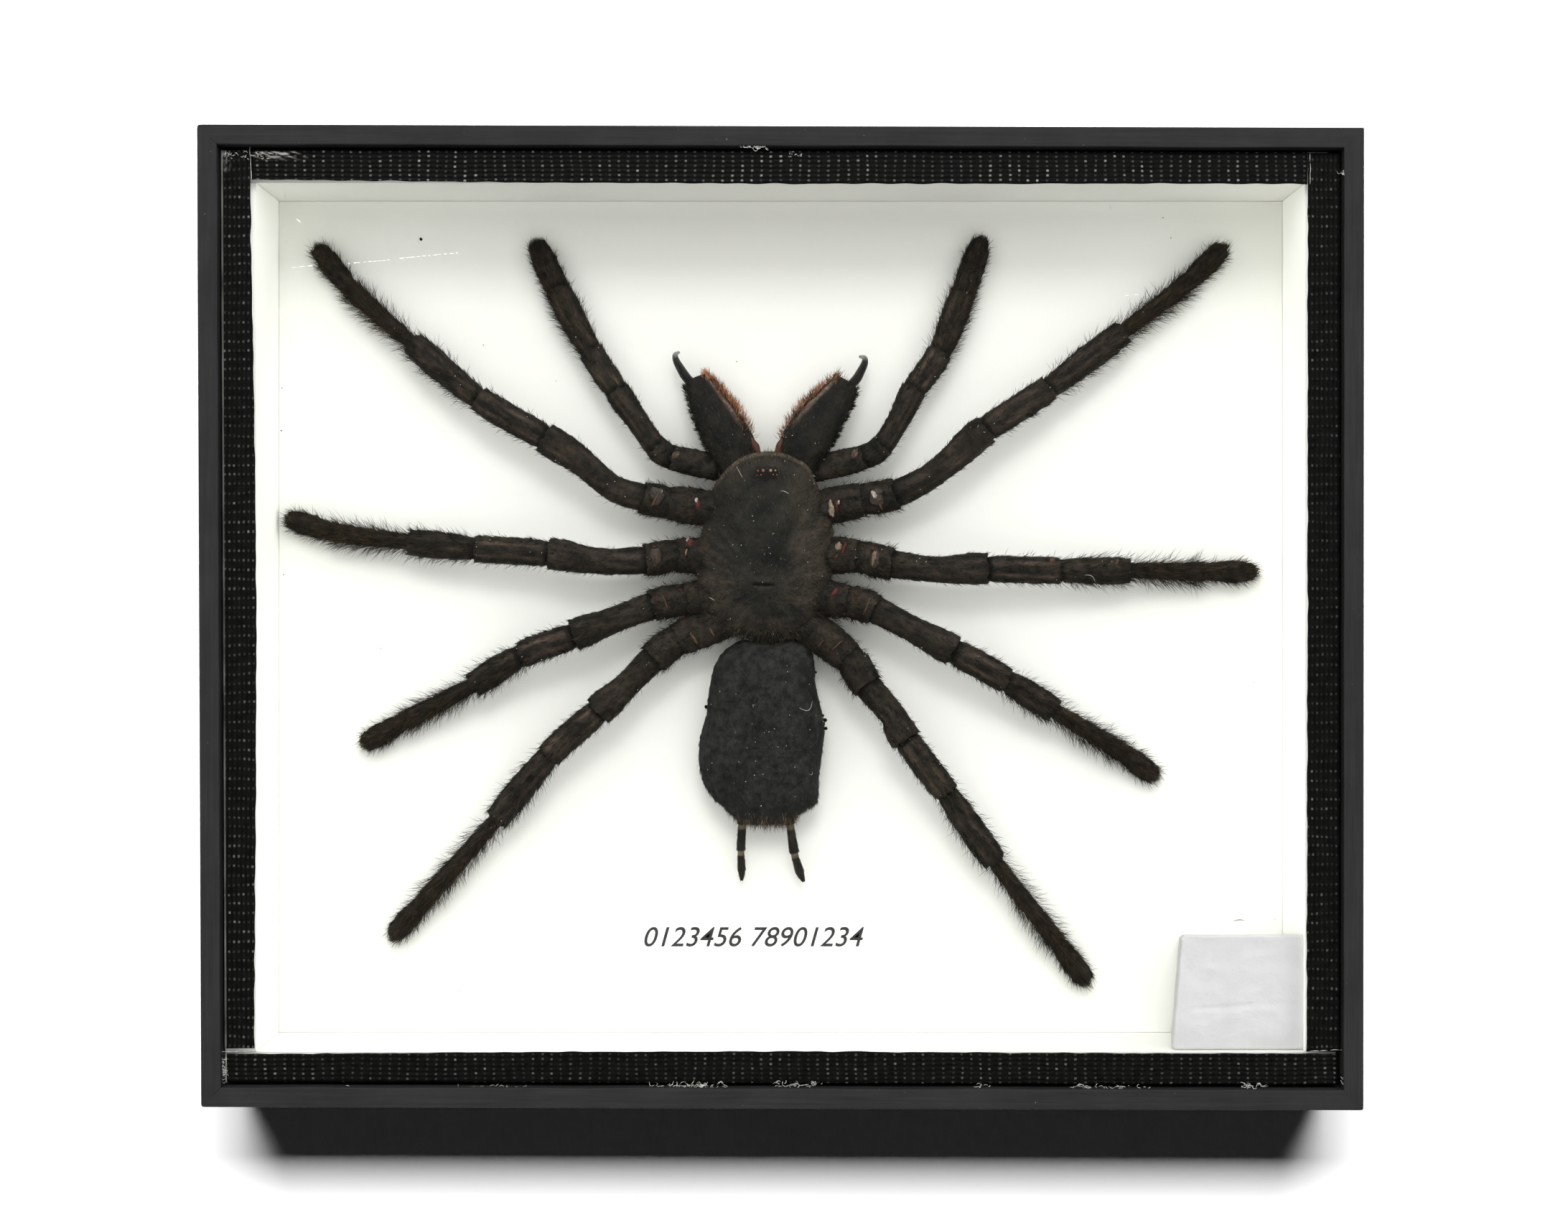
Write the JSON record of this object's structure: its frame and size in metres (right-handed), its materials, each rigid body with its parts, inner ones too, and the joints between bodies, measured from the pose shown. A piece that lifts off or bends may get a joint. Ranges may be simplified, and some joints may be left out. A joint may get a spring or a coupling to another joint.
{
  "type": "framed tarantula specimen",
  "caption": "Dried tarantula spread flat under glass in a shallow black wooden display box, with a taped white card tray; for wall or shelf display.",
  "frame": {"origin": "centre of the box's back face, with the box lying on its back", "axes": "+X to the box's right and +Y to its top edge as seen through the glass, +Z out of the back through the glass"},
  "size_m": [0.18, 0.152, 0.032],
  "materials": {
    "painted_wood": "matte black paint over thin wood, fine grain showing along the rails",
    "back_board": "thin board, painted black",
    "card": "white paper-faced card, matte",
    "glass": "clear pane, a few fine scratches",
    "cloth_tape": "black woven cloth tape, slightly glossy, small glints in the weave",
    "paper": "folded white paper, faint creases",
    "carapace_shell": "dried chitin with fine pale down",
    "abdomen_skin": "dried skin with dense dark velvet",
    "limb_shell": "dried chitin, hairy, with reddish-brown bald furrows",
    "fang_shell": "glossy black horn, pale worn tip"
  },
  "bodies": {
    "root": {"frame_rail_top": "painted_wood", "frame_rail_bottom": "painted_wood", "frame_rail_left": "painted_wood", "frame_rail_right": "painted_wood", "back_board": "back_board", "base_card": "card", "tray_wall_top": "card", "tray_wall_bottom": "card", "tray_wall_left": "card", "tray_wall_right": "card", "glass": "glass", "tape_top": "cloth_tape", "tape_bottom": "cloth_tape", "tape_left": "cloth_tape", "tape_right": "cloth_tape", "corner_parcel": "paper", "cephalothorax": "carapace_shell", "abdomen": "abdomen_skin", "leg_left_1": "limb_shell", "leg_left_2": "limb_shell", "leg_left_3": "limb_shell", "leg_left_4": "limb_shell", "palp_left": "limb_shell", "chelicera_left": "carapace_shell", "fang_left": "fang_shell", "spinneret_left": "abdomen_skin", "leg_right_1": "limb_shell", "leg_right_2": "limb_shell", "leg_right_3": "limb_shell", "leg_right_4": "limb_shell", "palp_right": "limb_shell", "chelicera_right": "carapace_shell", "fang_right": "fang_shell", "spinneret_right": "abdomen_skin"}
  },
  "joints": []
}
